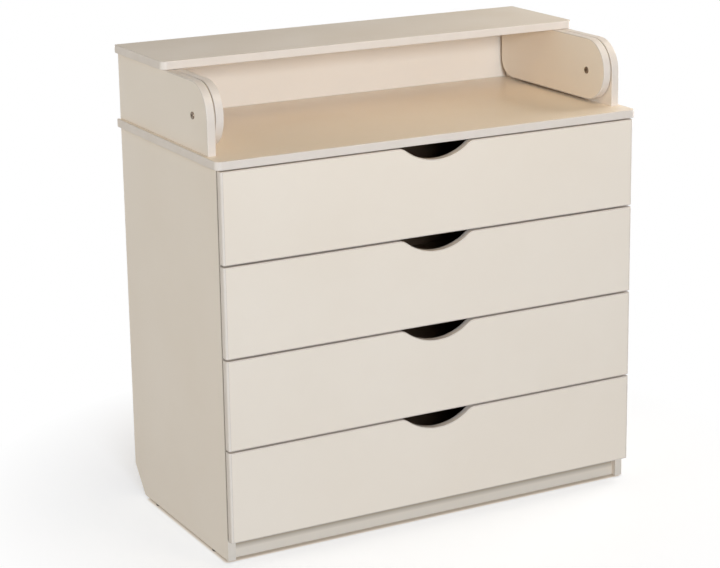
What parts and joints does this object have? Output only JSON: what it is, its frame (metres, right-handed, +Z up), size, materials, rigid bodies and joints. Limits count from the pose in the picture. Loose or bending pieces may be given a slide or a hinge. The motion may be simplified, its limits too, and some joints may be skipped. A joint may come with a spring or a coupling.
{
  "type": "changing dresser",
  "caption": "Cream chest of drawers with finger cut-outs, whose hinged lid and cheeks turn forward to widen the changing surface.",
  "frame": {"origin": "on the floor, under the centre of the bounding box", "axes": "+X to the right seen from the front, -Y out of the drawer fronts, +Z up"},
  "size_m": [0.9, 0.458, 0.911],
  "materials": {
    "cream_board": "chipboard with a satin cream laminate and banded edges",
    "drawer_board": "chipboard with a white laminate",
    "back_hardboard": "hardboard, cream on the inside",
    "drawer_hardboard": "hardboard, white on its upper face",
    "slide_steel": "zinc plated pressed steel",
    "screw_steel": "zinc plated",
    "cam_metal": "cast zinc",
    "dowel_wood": "fluted beech",
    "pivot_steel": "dark bronzed steel",
    "washer_nylon": "natural nylon",
    "glide_plastic": "dark moulded plastic"
  },
  "bodies": {
    "cabinet": {"left_side": "cream_board", "right_side": "cream_board", "top_board": "cream_board", "bottom_board": "cream_board", "plinth_front": "cream_board", "plinth_rear": "cream_board", "rear_rail": "cream_board", "back_sheet": "back_hardboard", "outer_cheek_left": "cream_board", "outer_cheek_right": "cream_board", "upper_back_board": "cream_board", "glides": "glide_plastic", "cabinet_rails": "slide_steel", "cabinet_rail_screws": "screw_steel", "carcass_cams": "cam_metal", "carcass_dowels": "dowel_wood", "pivot_sleeves": "pivot_steel", "pivot_bolts": "pivot_steel", "pivot_washers": "washer_nylon"},
    "drawer_1": {"drawer_1_front": "cream_board", "drawer_1_side_left": "drawer_board", "drawer_1_side_right": "drawer_board", "drawer_1_back": "drawer_board", "drawer_1_bottom": "drawer_hardboard", "drawer_1_rails": "slide_steel", "drawer_1_screws": "screw_steel", "drawer_1_cams": "cam_metal"},
    "drawer_2": {"drawer_2_front": "cream_board", "drawer_2_side_left": "drawer_board", "drawer_2_side_right": "drawer_board", "drawer_2_back": "drawer_board", "drawer_2_bottom": "drawer_hardboard", "drawer_2_rails": "slide_steel", "drawer_2_screws": "screw_steel", "drawer_2_cams": "cam_metal"},
    "drawer_3": {"drawer_3_front": "cream_board", "drawer_3_side_left": "drawer_board", "drawer_3_side_right": "drawer_board", "drawer_3_back": "drawer_board", "drawer_3_bottom": "drawer_hardboard", "drawer_3_rails": "slide_steel", "drawer_3_screws": "screw_steel", "drawer_3_cams": "cam_metal"},
    "drawer_4": {"drawer_4_front": "cream_board", "drawer_4_side_left": "drawer_board", "drawer_4_side_right": "drawer_board", "drawer_4_back": "drawer_board", "drawer_4_bottom": "drawer_hardboard", "drawer_4_rails": "slide_steel", "drawer_4_screws": "screw_steel", "drawer_4_cams": "cam_metal"},
    "slide_1": {"slide_1_middle": "slide_steel"},
    "slide_2": {"slide_2_middle": "slide_steel"},
    "slide_3": {"slide_3_middle": "slide_steel"},
    "slide_4": {"slide_4_middle": "slide_steel"},
    "changing_lid": {"lid_board": "cream_board", "lid_cheek_left": "cream_board", "lid_cheek_right": "cream_board", "lid_dowels": "dowel_wood"}
  },
  "joints": [
    {"name": "drawer_1_travel", "type": "slide", "parent": "cabinet", "child": "drawer_1", "axis": [0, -1, 0], "range_m": [0, 0.35]},
    {"name": "drawer_2_travel", "type": "slide", "parent": "cabinet", "child": "drawer_2", "axis": [0, -1, 0], "range_m": [0, 0.35]},
    {"name": "drawer_3_travel", "type": "slide", "parent": "cabinet", "child": "drawer_3", "axis": [0, -1, 0], "range_m": [0, 0.35]},
    {"name": "drawer_4_travel", "type": "slide", "parent": "cabinet", "child": "drawer_4", "axis": [0, -1, 0], "range_m": [0, 0.35]},
    {"name": "slide_1_travel", "type": "slide", "parent": "cabinet", "child": "slide_1", "axis": [0, -1, 0], "range_m": [0, 0.175]},
    {"name": "slide_2_travel", "type": "slide", "parent": "cabinet", "child": "slide_2", "axis": [0, -1, 0], "range_m": [0, 0.175]},
    {"name": "slide_3_travel", "type": "slide", "parent": "cabinet", "child": "slide_3", "axis": [0, -1, 0], "range_m": [0, 0.175]},
    {"name": "slide_4_travel", "type": "slide", "parent": "cabinet", "child": "slide_4", "axis": [0, -1, 0], "range_m": [0, 0.175]},
    {"name": "lid_turn", "type": "hinge", "parent": "cabinet", "child": "changing_lid", "pos_m": [0, -0.116, 0.8305], "axis": [1, 0, 0], "range_deg": [0, 180]}
  ],
  "couplings": [
    {"joint": "slide_1_travel", "follows": "drawer_1_travel", "ratio": 0.5},
    {"joint": "slide_2_travel", "follows": "drawer_2_travel", "ratio": 0.5},
    {"joint": "slide_3_travel", "follows": "drawer_3_travel", "ratio": 0.5},
    {"joint": "slide_4_travel", "follows": "drawer_4_travel", "ratio": 0.5}
  ]
}
